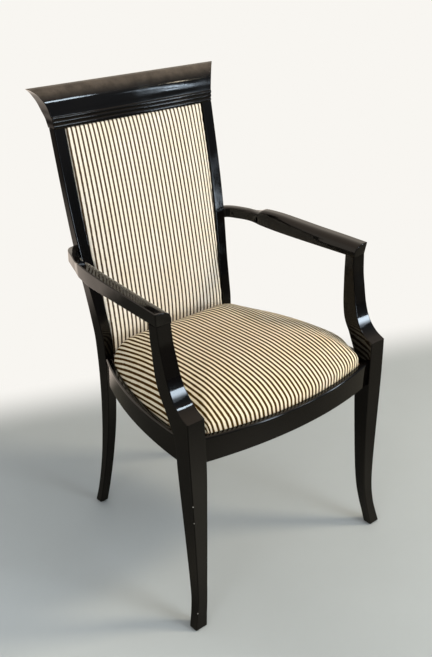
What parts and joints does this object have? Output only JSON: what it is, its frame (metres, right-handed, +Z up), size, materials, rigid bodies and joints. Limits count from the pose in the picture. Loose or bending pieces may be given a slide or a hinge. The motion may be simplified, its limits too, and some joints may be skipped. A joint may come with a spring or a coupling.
{
  "type": "dining armchair",
  "caption": "Black lacquered klismos armchair with sabre legs, coved crest rail, curved arms, domed striped seat and striped upholstered back.",
  "frame": {"origin": "on the floor, below the middle of the chair's bounding box", "axes": "+Z up, front of the chair towards -Y, +X towards the sitter's left"},
  "size_m": [0.5618, 0.5676, 0.97],
  "materials": {
    "lacquer": "high gloss black lacquer",
    "beech": "plain sawn beech",
    "plywood": "sanded plywood",
    "foam": "soft upholstery foam",
    "striped_cloth": "cream woven cloth with thin dark brown stripes",
    "black_lining": "thin black dust cloth",
    "zinc_steel": "zinc plated",
    "nylon": "moulded nylon"
  },
  "bodies": {
    "root": {"front_leg_left": "lacquer", "front_leg_right": "lacquer", "arm_post_left": "lacquer", "arm_post_right": "lacquer", "arm_left": "lacquer", "arm_right": "lacquer", "rear_leg_left": "lacquer", "rear_leg_right": "lacquer", "crest_rail": "lacquer", "front_rail": "lacquer", "side_rail_left": "lacquer", "side_rail_right": "lacquer", "rear_rail": "lacquer", "back_rail": "lacquer", "front_corner_block_left": "beech", "front_corner_block_right": "beech", "rear_corner_block_left": "beech", "rear_corner_block_right": "beech", "rear_cleat": "beech", "post_dowel_left": "beech", "post_dowel_right": "beech", "arm_dowel_left": "beech", "arm_dowel_right": "beech", "neck_dowel_left": "beech", "neck_dowel_right": "beech", "crest_dowel_left": "beech", "crest_dowel_right": "beech", "seat_board": "plywood", "back_board": "plywood", "seat_foam": "foam", "back_foam": "foam", "seat_cover": "striped_cloth", "back_cover": "striped_cloth", "rear_cover": "striped_cloth", "seat_lining": "black_lining", "front_cross_screw_left": "zinc_steel", "front_cross_screw_right": "zinc_steel", "front_side_screw_left": "zinc_steel", "front_side_screw_right": "zinc_steel", "front_seat_screw_left": "zinc_steel", "front_seat_screw_right": "zinc_steel", "rear_cross_screw_left": "zinc_steel", "rear_cross_screw_right": "zinc_steel", "rear_side_screw_left": "zinc_steel", "rear_side_screw_right": "zinc_steel", "rear_seat_screw_left": "zinc_steel", "rear_seat_screw_right": "zinc_steel", "front_glide_left": "nylon", "front_glide_right": "nylon", "rear_glide_left": "nylon", "rear_glide_right": "nylon"}
  },
  "joints": []
}
